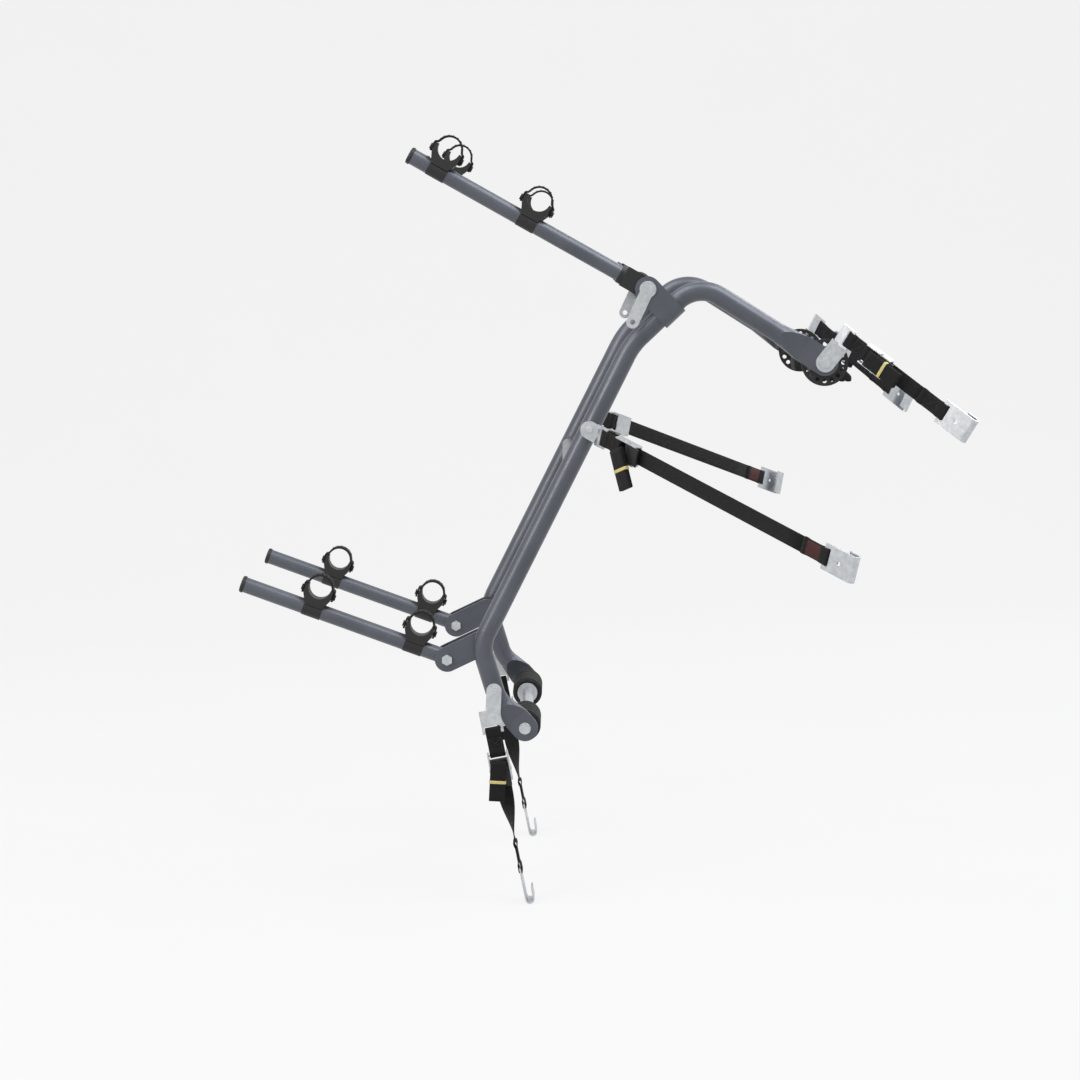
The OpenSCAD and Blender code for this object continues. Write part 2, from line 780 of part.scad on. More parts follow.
// Run of webbing that turns about its own length by twist
module web_twist(from, to, twist) {
    rings = 13;
    half_w = web_w / 2;
    half_t = web_t / 2;
    corner = [[-half_w, -half_t], [half_w, -half_t], [half_w, half_t], [-half_w, half_t]];
    points = [
        for (i = [0:rings - 1], c = corner)
            let (f = i / (rings - 1), a = twist * f)
                [from + (to - from) * f, c[0] * cos(a) - c[1] * sin(a), c[0] * sin(a) + c[1] * cos(a)]
    ];
    last = 4 * (rings - 1);
    sides = [
        for (i = [0:rings - 2], k = [0:3])
            let (a = 4 * i + k, b = 4 * i + (k + 1) % 4)
                each [[a, a + 4, b + 4], [a, b + 4, b]]
    ];
    translate([0, 0, run_z]) polyhedron(points, concat([[0, 1, 2], [0, 2, 3]],
        [[last, last + 2, last + 1], [last, last + 3, last + 2]], sides));
}

// Folded tail: one strip laid back and forth, hanging along its own direction
module web_tail() {
    r_out = tail_step / 2 + web_t / 2;
    r_in = tail_step / 2 - web_t / 2;
    rotate([90, 0, 0]) linear_extrude(web_w, center = true) {
        translate([-web_t, 0]) square([2 * web_t, web_t]);
        for (i = [0:tail_layers - 1]) translate([0, i * tail_step]) square([tail_len, web_t]);
        for (i = [0:tail_layers - 2])
            translate([i % 2 == 0 ? tail_len : 0, i * tail_step + tail_step / 2 + web_t / 2]) difference() {
                circle(r = r_out);
                circle(r = r_in);
                translate([i % 2 == 0 ? -2 * r_out : 0, -2 * r_out]) square([2 * r_out, 4 * r_out]);
            }
    }
}

// Turns a tail from the run's direction to its own, about the webbing's face
module on_tail(run, width, tail) {
    u = run_way(run);
    turn = atan2(unit(tail) * width, unit(tail) * u);
    translate([tail_at, 0, tail_z]) rotate([0, 0, turn]) children();
}

module webbing(run, width, tail, twist) {
    length = norm(run);
    sewn = length - hook_loop - loop_gap - web_t / 2;
    flat_to = twist == 0 ? sewn : wall_from + wall_len + 6;
    web_loop(-slot_l / 2 + loop_gap, loop_end - loop_gap);
    web_flat(tail_at - web_t, flat_to);
    if (twist != 0) web_twist(flat_to - web_t, sewn, twist);
    translate([length, 0, run_z]) rotate([twist, 0, 0]) web_loop(-hook_loop, bar_l + 1);
    translate([tail_at - web_t, -web_w / 2, run_z - web_t / 2])
        cube([web_t, web_w, tail_z - run_z + web_t]);
    on_tail(run, width, tail) web_tail();
}

module roof_strap(s) {
    color(black) sided(s) on_roof() webbing(roof_run, run_width(roof_run), roof_tail, 0);
}

module side_strap(s) {
    color(black) sided(s) on_side() webbing(side_run, run_width(side_run), side_tail, 0);
}

module lower_strap(s) {
    color(black) sided(s) on_low() webbing(lower_run, lower_width, lower_tail, 90);
}

module strap_band(run, width, tail) {
    h = (tail_layers - 1) * tail_step + web_t;
    gap = 0.2;
    on_tail(run, width, tail) translate([band_at, 0, 0]) difference() {
        translate([0, -web_w / 2 - gap - band_t, -gap - band_t])
            cube([band_w, web_w + 2 * (gap + band_t), h + 2 * (gap + band_t)]);
        translate([-cut, -web_w / 2 - gap, -gap]) cube([band_w + 2 * cut, web_w + 2 * gap, h + 2 * gap]);
    }
}

module strap_bands() {
    color("#e6d9a2") both() {
        on_roof() strap_band(roof_run, run_width(roof_run), roof_tail);
        on_side() strap_band(side_run, run_width(side_run), side_tail);
        on_low() strap_band(lower_run, lower_width, lower_tail);
    }
}

// Cam buckle's pressed body: a base, two walls and the bar that the sewn loop holds
module buckle_body() {
    width = 2 * (wall_y + wall_t);
    base_from = run_from - 4;
    difference() {
        union() {
            translate([base_from, -width / 2, wall_z])
                cube([wall_from + wall_len - base_from, width, base_t]);
            for (s = [-1, 1]) translate([wall_from, s * (wall_y + wall_t / 2) - wall_t / 2, wall_z])
                cube([wall_len, wall_t, wall_h]);
            translate([loop_bar_at, 0, 0]) rotate([90, 0, 0])
                cylinder(r = loop_bar_r, h = 2 * wall_y + wall_t, center = true);
        }
        translate([pin_at, 0, pin_z]) rotate([90, 0, 0])
            cylinder(r = buckle_pin_r + pin_play, h = 2 * width, center = true);
    }
}

module buckle_pin() {
    outer = wall_y + wall_t + seat;
    translate([pin_at, 0, pin_z]) rotate([90, 0, 0]) {
        cylinder(r = buckle_pin_r, h = 2 * outer, center = true);
        for (s = [-1, 1]) translate([0, 0, s * (outer + pin_head_t / 2)])
            cylinder(r = pin_head_r, h = pin_head_t, center = true);
    }
}

// Toothed cam with its thumb plate
module buckle_lever() {
    lever_w = 2 * (wall_y - run_gap);
    tooth = 0.5;
    translate([pin_at, 0, pin_z]) rotate([90, 0, 0]) difference() {
        union() {
            linear_extrude(lever_w, center = true) polygon([
                for (i = [0:2 * cam_teeth - 1]) (cam_r - (i % 2) * tooth) * way(i * 180 / cam_teeth)
            ]);
            linear_extrude(lever_w, center = true) polygon([
                [-2, 3], [0, thumb_z + thumb_t], [thumb_len - 3, thumb_z + thumb_t],
                [thumb_len, thumb_z + thumb_t + 1.6], [thumb_len, thumb_z + 1],
                [thumb_len - 4, thumb_z], [4, thumb_z - 2]
            ]);
        }
        cylinder(r = buckle_pin_r + pin_play, h = lever_w + cut, center = true);
    }
}

module roof_buckles() { color(zinc) both() on_roof() buckle_body(); }
module side_buckles() { color(zinc) both() on_side() buckle_body(); }
module lower_buckles() { color(zinc) both() on_low() buckle_body(); }

module buckle_pins() {
    color(zinc) both() {
        on_roof() buckle_pin();
        on_side() buckle_pin();
        on_low() buckle_pin();
    }
}

module roof_lever(s) { color(black) sided(s) on_roof() buckle_lever(); }
module side_lever(s) { color(black) sided(s) on_side() buckle_lever(); }
module lower_lever(s) { color(black) sided(s) on_low() buckle_lever(); }

// Plate hook with a slot for the webbing, a small hole and a turned-back lip
module hook() {
    r_out = hook_r + hook_t;
    difference() {
        translate([0, -hook_w / 2, -hook_t / 2]) cube([hook_len, hook_w, hook_t]);
        translate([bar_l, -web_w / 2 - 1, -hook_t]) cube([slot_l, web_w + 2, 2 * hook_t]);
        translate([0.6 * hook_len, 0, -hook_t]) cylinder(r = hook_hole_r, h = 2 * hook_t);
    }
    translate([hook_len, 0, -hook_t / 2 - hook_r]) rotate([90, 0, 0]) linear_extrude(hook_w, center = true)
        difference() {
            circle(r = r_out);
            circle(r = hook_r);
            translate([-2 * r_out, -2 * r_out]) square([2 * r_out, 4 * r_out]);
        }
    translate([hook_len - hook_back, -hook_w / 2, -hook_t / 2 - 2 * hook_r - hook_t])
        cube([hook_back, hook_w, hook_t]);
}

module strap_hook(run, twist) { translate([norm(run), 0, run_z]) rotate([twist, 0, 0]) hook(); }
module roof_hooks() { color(zinc) both() on_roof() strap_hook(roof_run, 0); }
module side_hooks() { color(zinc) both() on_side() strap_hook(side_run, 0); }
module lower_hooks() { color(zinc) both() on_low() strap_hook(lower_run, 90); }

main_tube(1);  // main_tube_right
main_tube(-1);  // main_tube_left
upper_cross_tube();
lower_cross_tube();
upper_arm_brackets();
lower_arm_brackets();
arm_pivot_bolts();
arm_latch_tabs();
roof_strap_brackets();
side_strap_brackets();
lower_strap_brackets();
strap_bracket_bolts();
lower_foot_bar();
lower_foot_bolts();
roller_washers();
roller(1);  // roller_right
roller(-1);  // roller_left
roof_foot_bar();
index_discs();
roof_pads();
roof_foot_bolts();
upper_arm_tube(1);  // upper_arm_tube_right
upper_arm_tube(-1);  // upper_arm_tube_left
upper_knuckle(1);  // upper_knuckle_right
upper_knuckle(-1);  // upper_knuckle_left
on_upper(1) arm_cap(upper_len);  // upper_cap_right
on_upper(-1) arm_cap(upper_len);  // upper_cap_left
on_upper(1) cradles(upper_cradle_a, upper_cradle_b);  // upper_cradles_right
on_upper(-1) cradles(upper_cradle_a, upper_cradle_b);  // upper_cradles_left
on_upper(1) cradle_straps(upper_cradle_a, upper_cradle_b);  // upper_cradle_straps_right
on_upper(-1) cradle_straps(upper_cradle_a, upper_cradle_b);  // upper_cradle_straps_left
lower_arm_tube(1);  // lower_arm_tube_right
lower_arm_tube(-1);  // lower_arm_tube_left
on_lower(1) arm_cap(lower_len);  // lower_cap_right
on_lower(-1) arm_cap(lower_len);  // lower_cap_left
on_lower(1) cradles(lower_cradle_a, lower_cradle_b);  // lower_cradles_right
on_lower(-1) cradles(lower_cradle_a, lower_cradle_b);  // lower_cradles_left
on_lower(1) cradle_straps(lower_cradle_a, lower_cradle_b);  // lower_cradle_straps_right
on_lower(-1) cradle_straps(lower_cradle_a, lower_cradle_b);  // lower_cradle_straps_left
roof_strap(1);  // roof_strap_right
roof_strap(-1);  // roof_strap_left
side_strap(1);  // side_strap_right
side_strap(-1);  // side_strap_left
lower_strap(1);  // lower_strap_right
lower_strap(-1);  // lower_strap_left
roof_buckles();
side_buckles();
lower_buckles();
buckle_pins();
strap_bands();
roof_hooks();
side_hooks();
lower_hooks();
roof_lever(1);  // roof_lever_right
roof_lever(-1);  // roof_lever_left
side_lever(1);  // side_lever_right
side_lever(-1);  // side_lever_left
lower_lever(1);  // lower_lever_right
lower_lever(-1);  // lower_lever_left
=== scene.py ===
import json
import math

import bmesh
import bpy
from mathutils import Matrix, Vector


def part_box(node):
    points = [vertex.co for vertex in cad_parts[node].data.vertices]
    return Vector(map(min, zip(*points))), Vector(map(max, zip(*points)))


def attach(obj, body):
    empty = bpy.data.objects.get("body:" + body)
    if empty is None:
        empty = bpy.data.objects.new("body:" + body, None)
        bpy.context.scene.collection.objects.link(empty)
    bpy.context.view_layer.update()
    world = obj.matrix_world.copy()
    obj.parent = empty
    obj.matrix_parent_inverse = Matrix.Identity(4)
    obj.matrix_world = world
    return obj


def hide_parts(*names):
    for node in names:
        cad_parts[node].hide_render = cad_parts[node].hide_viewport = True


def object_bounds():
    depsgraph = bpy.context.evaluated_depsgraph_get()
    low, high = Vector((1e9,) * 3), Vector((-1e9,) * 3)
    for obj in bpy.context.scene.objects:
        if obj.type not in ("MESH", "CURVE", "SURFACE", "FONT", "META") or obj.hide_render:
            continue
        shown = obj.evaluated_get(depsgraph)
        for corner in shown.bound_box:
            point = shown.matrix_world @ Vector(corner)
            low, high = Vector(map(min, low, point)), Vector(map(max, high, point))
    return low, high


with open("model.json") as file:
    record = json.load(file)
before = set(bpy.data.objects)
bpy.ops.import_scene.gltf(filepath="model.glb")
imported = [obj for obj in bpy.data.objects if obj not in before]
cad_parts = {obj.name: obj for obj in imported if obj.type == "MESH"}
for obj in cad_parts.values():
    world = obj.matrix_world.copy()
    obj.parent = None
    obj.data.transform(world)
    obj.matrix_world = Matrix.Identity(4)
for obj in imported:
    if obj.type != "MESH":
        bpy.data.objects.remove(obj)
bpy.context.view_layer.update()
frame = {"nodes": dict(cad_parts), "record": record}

record = frame["record"]
joints = {j["name"]: j for j in record["behaviour"]["joints"]}
mounts = {m["name"]: m for m in record["mounts"]}
scene = bpy.context.scene
scene.view_settings.view_transform = "Standard"

MM = 0.001
SIDES = ((1, "right"), (-1, "left"))

# Camera, at the photograph's viewing angle

LENS, SENSOR, FAR_CLIP = 84.0, 36.0, 100.0
CAMERA_PLACE = (4.1686, 0.0551, 0.7887)
CAMERA_RIGHT = (-0.007854, 0.999969, 0.0)
CAMERA_UP = (-0.121866, -0.000957, 0.992546)
CAMERA_BACK = (0.992516, 0.007795, 0.121869)

cam_data = bpy.data.cameras.new("camera")
cam_data.sensor_width = SENSOR
cam_data.lens = LENS
cam_data.clip_end = FAR_CLIP
camera = bpy.data.objects.new("camera", cam_data)
scene.collection.objects.link(camera)
turn = Matrix((CAMERA_RIGHT, CAMERA_UP, CAMERA_BACK)).transposed().to_4x4()
camera.matrix_world = Matrix.Translation(CAMERA_PLACE) @ turn
scene.camera = camera

# Colours and nodes


def lin(code):
    """A colour from its sRGB hex code, in linear light."""
    parts = [int(code[i:i + 2], 16) / 255 for i in (1, 3, 5)]
    linear = [c / 12.92 if c <= 0.04045 else ((c + 0.055) / 1.055) ** 2.4 for c in parts]
    return (*linear, 1.0)


def feed(tree, node, inputs):
    """Gives a node's inputs: a socket is linked, and anything else is the input's own value."""
    for key, source in inputs.items():
        if isinstance(source, bpy.types.NodeSocket):
            tree.links.new(source, node.inputs[key])
        else:
            node.inputs[key].default_value = source


def add(tree, kind, inputs, stops=(), **settings):
    """A shader node with its inputs and settings; stops are the places and colours of a ramp."""
    node = tree.nodes.new("ShaderNode" + kind)
    for key, value in settings.items():
        setattr(node, key, value)
    for i, (place, code) in enumerate(stops):
        node.color_ramp.elements[i].color = lin(code)
        node.color_ramp.elements[i].position = place
    feed(tree, node, inputs)
    return node


def seen_share(tree, amount):
    """How much of a surface's own glow the camera, gloss and clear materials see."""
    rays = add(tree, "LightPath", {}).outputs
    direct = {0: rays["Is Camera Ray"], 1: rays["Is Glossy Ray"]}
    seen = add(tree, "Math", direct, operation="MAXIMUM").outputs[0]
    seen = add(tree, "Math", {0: seen, 1: rays["Is Transmission Ray"]}, operation="MAXIMUM").outputs[0]
    return add(tree, "Math", {0: seen, 1: amount}, operation="MULTIPLY").outputs[0]


def new_material(name):
    """A material with its node tree, its shader, and object coordinates in millimetres for its patterns."""
    made = bpy.data.materials.new(name)
    made.use_nodes = True
    tree = made.node_tree
    metres = add(tree, "TexCoord", {}).outputs["Object"]
    mm = add(tree, "Mapping", {"Vector": metres, "Scale": (1000, 1000, 1000)}).outputs["Vector"]
    return made, tree, tree.nodes["Principled BSDF"], mm


# Studio light: four soft panels that the camera doesn't see

AIR_LIGHT, PAPER_GLOW = 0.3, 0.84
PANELS = (
    # name, place, aim, side length, watts, colour
    ("sky_panel", (0.9, 1.7, 3.0), (0.0, 0.1, 0.4), 2.0, 60, "#f8f9ff"),
    ("front_panel", (0.9, -1.3, 3.2), (0.0, 0.0, 0.3), 2.4, 60, "#f8f9ff"),
    ("side_panel", (2.7, -2.7, 1.8), (0.0, 0.0, 0.3), 1.5, 55, "#fffbf6"),
    ("rim_panel", (-2.0, 2.4, 2.6), (0.0, 0.1, 0.3), 1.8, 40, "#f6f8ff"),
)

for name, place, aim, size, watts, colour in PANELS:
    panel = bpy.data.lights.new(name, "AREA")
    panel.shape = "RECTANGLE"
    panel.size = size
    panel.size_y = size
    panel.energy = watts
    panel.color = lin(colour)[:3]
    lamp = bpy.data.objects.new(name, panel)
    lamp.location = place
    lamp.rotation_euler = (Vector(aim) - Vector(place)).to_track_quat("-Z", "Y").to_euler()
    lamp.visible_camera = False
    scene.collection.objects.link(lamp)

# Studio air: soft light on the object, and a pale backdrop where the camera or a gloss looks past the paper
world = bpy.data.worlds.new("studio")
world.use_nodes = True
scene.world = world
t = world.node_tree
air = t.nodes["Background"]
feed(t, air, {"Color": lin("#f1f2f4"), "Strength": AIR_LIGHT})
backdrop = add(t, "Background", {"Color": lin("#efefef"), "Strength": 1.0})
mixed = add(t, "MixShader", {0: seen_share(t, 1.0), 1: air.outputs[0], 2: backdrop.outputs[0]})
feed(t, t.nodes["World Output"], {"Surface": mixed.outputs[0]})

# Materials

# Satin powder paint on the tubes: a blue-grey with a soft sheen, faint orange peel and slightly uneven gloss
paint, t, shader, mm = new_material("satin_powder_paint")
cloud = add(t, "TexNoise", {"Vector": mm, "Scale": 1 / 60.0, "Detail": 4.0}).outputs["Fac"]
tone = add(t, "ValToRGB", {"Fac": cloud}, stops=((0.3, "#4e525a"), (0.7, "#585c64"))).outputs["Color"]
patch = add(t, "TexNoise", {"Vector": mm, "Scale": 1 / 22.0, "Detail": 5.0, "Roughness": 0.6}).outputs["Fac"]
gloss = add(t, "MapRange", {"Value": patch, "From Min": 0.3, "From Max": 0.7, "To Min": 0.34, "To Max": 0.46})
peel = add(t, "TexNoise", {"Vector": mm, "Scale": 1 / 2.2, "Detail": 2.0}).outputs["Fac"]
edge = add(t, "Bevel", {"Radius": 0.7 * MM}, samples=4).outputs["Normal"]
skin = add(t, "Bump", {"Height": peel, "Distance": 0.02 * MM, "Normal": edge}).outputs["Normal"]
feed(t, shader, {"Base Color": tone, "Roughness": gloss.outputs[0], "Normal": skin})
feed(t, shader, {"Metallic": 0.35, "Coat Weight": 0.25, "Coat Roughness": 0.28})

# Zinc plating: bright grey steel with cloudy plating and fine rubbed scratches, drawn coarser than they
# are so that they show
zinc, t, shader, mm = new_material("zinc_plated_steel")
cloud = add(t, "TexNoise", {"Vector": mm, "Scale": 1 / 9.0, "Detail": 5.0, "Roughness": 0.6}).outputs["Fac"]
tone = add(t, "ValToRGB", {"Fac": cloud}, stops=((0.3, "#b6babe"), (0.7, "#d2d4d7"))).outputs["Color"]
rubbed = add(t, "Mapping", {"Vector": mm, "Scale": (1.0, 0.12, 1.0)}).outputs["Vector"]
scratch = {"Vector": rubbed, "Scale": 1 / 0.7, "Detail": 3.0, "Roughness": 0.65}
scratch = add(t, "TexNoise", scratch).outputs["Fac"]
gloss = {"Value": scratch, "From Min": 0.3, "From Max": 0.7, "To Min": 0.26, "To Max": 0.46}
gloss = add(t, "MapRange", gloss)
edge = add(t, "Bevel", {"Radius": 0.45 * MM}, samples=4).outputs["Normal"]
skin = add(t, "Bump", {"Height": scratch, "Distance": 0.008 * MM, "Normal": edge}).outputs["Normal"]
feed(t, shader, {"Base Color": tone, "Roughness": gloss.outputs[0], "Normal": skin, "Metallic": 0.9})

# Moulded black plastic: spark-eroded grain that breaks the highlights, drawn coarser than it is so that
# it shows
plastic, t, shader, mm = new_material("moulded_black_plastic")
cloud = add(t, "TexNoise", {"Vector": mm, "Scale": 1 / 30.0, "Detail": 4.0}).outputs["Fac"]
tone = add(t, "ValToRGB", {"Fac": cloud}, stops=((0.3, "#0b0b0d"), (0.7, "#131416"))).outputs["Color"]
patch = add(t, "TexNoise", {"Vector": mm, "Scale": 1 / 5.0, "Detail": 4.0}).outputs["Fac"]
gloss = add(t, "MapRange", {"Value": patch, "From Min": 0.3, "From Max": 0.7, "To Min": 0.42, "To Max": 0.58})
grain = add(t, "TexNoise", {"Vector": mm, "Scale": 1 / 0.45, "Detail": 2.0}).outputs["Fac"]
edge = add(t, "Bevel", {"Radius": 0.8 * MM}, samples=4).outputs["Normal"]
skin = add(t, "Bump", {"Height": grain, "Distance": 0.03 * MM, "Normal": edge}).outputs["Normal"]
feed(t, shader, {"Base Color": tone, "Roughness": gloss.outputs[0], "Normal": skin})

# Black rubber: dull, a little dusty, with a fine pebbled skin
rubber, t, shader, mm = new_material("black_rubber")
dust = add(t, "TexNoise", {"Vector": mm, "Scale": 1 / 14.0, "Detail": 5.0, "Roughness": 0.62}).outputs["Fac"]
tone = add(t, "ValToRGB", {"Fac": dust}, stops=((0.3, "#0c0c0c"), (0.7, "#181817"))).outputs["Color"]
patch = add(t, "TexNoise", {"Vector": mm, "Scale": 1 / 4.0, "Detail": 4.0}).outputs["Fac"]
gloss = add(t, "MapRange", {"Value": patch, "From Min": 0.3, "From Max": 0.7, "To Min": 0.66, "To Max": 0.85})
pebble = add(t, "TexNoise", {"Vector": mm, "Scale": 1 / 0.8, "Detail": 3.0}).outputs["Fac"]
edge = add(t, "Bevel", {"Radius": 0.9 * MM}, samples=4).outputs["Normal"]
skin = add(t, "Bump", {"Height": pebble, "Distance": 0.06 * MM, "Normal": edge}).outputs["Normal"]
feed(t, shader, {"Base Color": tone, "Roughness": gloss.outputs[0], "Normal": skin})
feed(t, shader, {"Specular IOR Level": 0.35})

# Pale yellow elastic of the tail bands: matt, with a fine nubbly surface
elastic, t, shader, mm = new_material("yellow_elastic")
cloud = add(t, "TexNoise", {"Vector": mm, "Scale": 1 / 3.0, "Detail": 4.0}).outputs["Fac"]
tone = add(t, "ValToRGB", {"Fac": cloud}, stops=((0.3, "#cdbb74"), (0.7, "#e2d596"))).outputs["Color"]
nubs = add(t, "TexNoise", {"Vector": mm, "Scale": 1 / 0.5, "Detail": 2.0}).outputs["Fac"]
skin = add(t, "Bump", {"Height": nubs, "Distance": 0.08 * MM}).outputs["Normal"]
feed(t, shader, {"Base Color": tone, "Roughness": 0.75, "Normal": skin})

# Flat woven polyester: ribs of warp along it crossed by the weft, from the strip's own length and width
WARP_PITCH, WEFT_PITCH = 1.25, 1.9
webbing, t, shader, mm = new_material("black_polyester_webbing")
strip_uv = add(t, "UVMap", {}, uv_map="strip").outputs["UV"]
run_and_width = add(t, "SeparateXYZ", {"Vector": strip_uv}).outputs
turns = {0: run_and_width["Y"], 1: 2 * math.pi / (WARP_PITCH * MM)}
turns = add(t, "Math", turns, operation="MULTIPLY").outputs[0]
warp = add(t, "Math", {0: turns}, operation="SINE").outputs[0]
turns = {0: run_and_width["X"], 1: 2 * math.pi / (WEFT_PITCH * MM)}
turns = add(t, "Math", turns, operation="MULTIPLY").outputs[0]
weft = add(t, "Math", {0: turns}, operation="SINE").outputs[0]
crossed = add(t, "Math", {0: warp, 1: weft}, operation="MULTIPLY").outputs[0]
ribs = add(t, "Math", {0: crossed, 1: warp}, operation="ADD").outputs[0]
fuzz = add(t, "TexNoise", {"Vector": mm, "Scale": 1 / 0.5, "Detail": 3.0}).outputs["Fac"]
weave = add(t, "Math", {0: ribs, 1: fuzz}, operation="ADD").outputs[0]
# painted shade: the webbing's colour is darker where the weave lies deeper, in the hollows between the
# threads
weave_hollow_shade = add(t, "MapRange", {"Value": weave, "From Min": -1.2, "From Max": 2.6, "To Min": 0.0, "To Max": 1.0})
stops = ((0.3, "#060607"), (0.7, "#151517"))
tone = add(t, "ValToRGB", {"Fac": weave_hollow_shade.outputs[0]}, stops=stops).outputs["Color"]
skin = add(t, "Bump", {"Height": weave, "Distance": 0.18 * MM}).outputs["Normal"]
feed(t, shader, {"Base Color": tone, "Roughness": 0.82, "Normal": skin})
feed(t, shader, {"Sheen Weight": 0.06, "Sheen Roughness": 0.5, "Specular IOR Level": 0.3})


def thread_material(name, dark, light):
    """Sewing thread: matt twisted fibres with slight changes of tone, drawn coarse enough to show."""
    made, tree, bsdf, mm = new_material(name)
    fibre = add(tree, "TexNoise", {"Vector": mm, "Scale": 1 / 0.4, "Detail": 2.0}).outputs["Fac"]
    tone = add(tree, "ValToRGB", {"Fac": fibre}, stops=((0.3, dark), (0.7, light))).outputs["Color"]
    feed(tree, bsdf, {"Base Color": tone, "Roughness": 0.6})
    return made


grey_thread = thread_material("charcoal_thread", "#2e2f31", "#4a4b4d")
brown_thread = thread_material("red_brown_thread", "#442322", "#633332")

# Pale seamless paper: matt, with a barely visible mottling; the camera and gloss see it part lit by itself,
# so that it looks nearly white and still takes the shadow
paper, t, shader, mm = new_material("studio_paper")
cloud = add(t, "TexNoise", {"Vector": mm, "Scale": 1 / 400.0, "Detail": 3.0}).outputs["Fac"]
tone = add(t, "ValToRGB", {"Fac": cloud}, stops=((0.3, "#c6c6c4"), (0.7, "#cccccb"))).outputs["Color"]
feed(t, shader, {"Base Color": tone, "Roughness": 0.9})
glow = add(t, "Emission", {"Color": lin("#ffffff"), "Strength": 1.0})
mixed = add(t, "MixShader", {0: seen_share(t, PAPER_GLOW), 1: shader.outputs["BSDF"], 2: glow.outputs[0]})
feed(t, t.nodes["Material Output"], {"Surface": mixed.outputs[0]})

# Mesh helpers

EDGE_SOFT, EDGE_FLAT, FACE_SPLIT = 0.5 * MM, 0.45, 0.4


def piece(name, mesh, body, mats):
    """A smooth piece that rides on a body and takes the finishes it is given."""
    obj = bpy.data.objects.new(name, mesh)
    scene.collection.objects.link(obj)
    for m in mats:
        mesh.materials.append(m)
    for p in mesh.polygons:
        p.use_smooth = True
    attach(obj, body)
    return obj


def way(a):
    """Direction at an angle in the side plane, from +Y towards +Z."""
    return Vector((0.0, math.cos(math.radians(a)), math.sin(math.radians(a))))


def ease(f):
    """0 to 1 with a soft start and end."""
    return f * f * (3 - 2 * f)


def heading(before, after):
    """Unit direction between two points of a flat line."""
    return Vector((after[0] - before[0], after[1] - before[1])).normalized()


class Build:
    """Vertices, faces, strip coordinates and material numbers of one mesh, on the right or the left side."""

    def __init__(self, side=1):
        self.side = side
        self.verts, self.faces, self.uvs, self.mats = [], [], [], []

    def face(self, ids, uv=None, mat=0):
        if self.side < 0:
            ids, uv = ids[::-1], (uv[::-1] if uv else None)
        self.faces.append(ids)
        self.uvs.append(uv or [(0, 0)] * len(ids))
        self.mats.append(mat)

    def point(self, p):
        self.verts.append((self.side * p[0], p[1], p[2]))
        return len(self.verts) - 1

    def strip(self, frames, width, thick, closed=False, mat=0):
        """A flat strip through frames of (point, width direction, normal), with soft edges."""
        a, h = width / 2, thick / 2
        soft, flat, split = a - EDGE_SOFT, EDGE_FLAT * h, FACE_SPLIT * a
        lower = [(-a, -flat), (-soft, -h), (-split, -h), (split, -h), (soft, -h), (a, -flat)]
        profile = lower + [(-x, -y) for x, y in lower]
        rings, lengths, run = [], [], 0.0
        for i, (p, w, n) in enumerate(frames):
            if i:
                run += (p - frames[i - 1][0]).length
            lengths.append(run)
            rings.append([self.point(p + x * w + y * n) for x, y in profile])
        count, k = len(frames), len(profile)
        for i in range(count if closed else count - 1):
            j = (i + 1) % count
            u0 = lengths[i]
            u1 = lengths[j] if j else run + (frames[0][0] - frames[-1][0]).length
            for q in range(k):
                r = (q + 1) % k
                v0, v1 = profile[q][0], profile[r][0]
                corners = [rings[i][q], rings[i][r], rings[j][r], rings[j][q]]
                self.face(corners, [(u0, v0), (u0, v1), (u1, v1), (u1, v0)], mat)
        if not closed:
            self.face(rings[0][::-1], None, mat)
            self.face(rings[-1], None, mat)

    def tube(self, points, radius, sides=8, closed=False, mat=0, up_hint=Vector((0, 0, 1))):
        """A round tube through points, of one radius or of one radius for each point."""
        rings, count = [], len(points)
        for i, p in enumerate(points):
            before = points[i - 1] if closed or i else points[0]
            after = points[(i + 1) % count] if closed or i < count - 1 else points[-1]
            d = (after - before).normalized()
            hint = up_hint if abs(d.dot(up_hint)) < 0.95 else Vector((1, 0, 0))
            across = d.cross(hint).normalized()
            other = across.cross(d)
            r = radius[i] if isinstance(radius, list) else radius
            ring = []
            for q in range(sides):
                a = 2 * math.pi * q / sides
                ring.append(self.point(p + r * (math.cos(a) * across + math.sin(a) * other)))
            rings.append(ring)
        for i in range(count if closed else count - 1):
            j = (i + 1) % count
            for q in range(sides):
                r = (q + 1) % sides
                self.face([rings[i][q], rings[j][q], rings[j][r], rings[i][r]], None, mat)
        if not closed:
            self.face(rings[0], None, mat)
            self.face(rings[-1][::-1], None, mat)

    def mesh(self, name):
        m = bpy.data.meshes.new(name)
        m.from_pydata(self.verts, [], self.faces)
        layer = m.uv_layers.new(name="strip")
        for poly, uv, mat in zip(m.polygons, self.uvs, self.mats):
            poly.material_index = mat
            for loop, value in zip(poly.loop_indices, uv):
                layer.data[loop].uv = value
        bm = bmesh.new()
        bm.from_mesh(m)
        bmesh.ops.recalc_face_normals(bm, faces=bm.faces)
        bm.to_mesh(m)
        bm.free()
        return m


# Straps: the taut webbing, its tails and stitching, in millimetres along a strap's own frame

WEB_W, WEB_T = 25.0, 1.5
PIN_AT, PIN_Z, RUN_Z = 64.0, 5.95, -0.7
# sewn loops at the bracket and at the hook: their ends, and the stretch where both layers are sewn together
LOOP_FROM, LOOP_TO, LOOP_R = -0.9, 42.15, 2.6
LOOP_SEWN, HOOK_SEWN = (15.0, 31.0), (-30.0, -9.0)
HOOK_LEN, HOOK_LOOP, HOOK_LOOP_TO = 52.0, 40.0, 7.0
SEWN_HALF, LOOP_EASE, LOOP_STEPS, END_STEPS = 0.85, 7.0, 30, 10
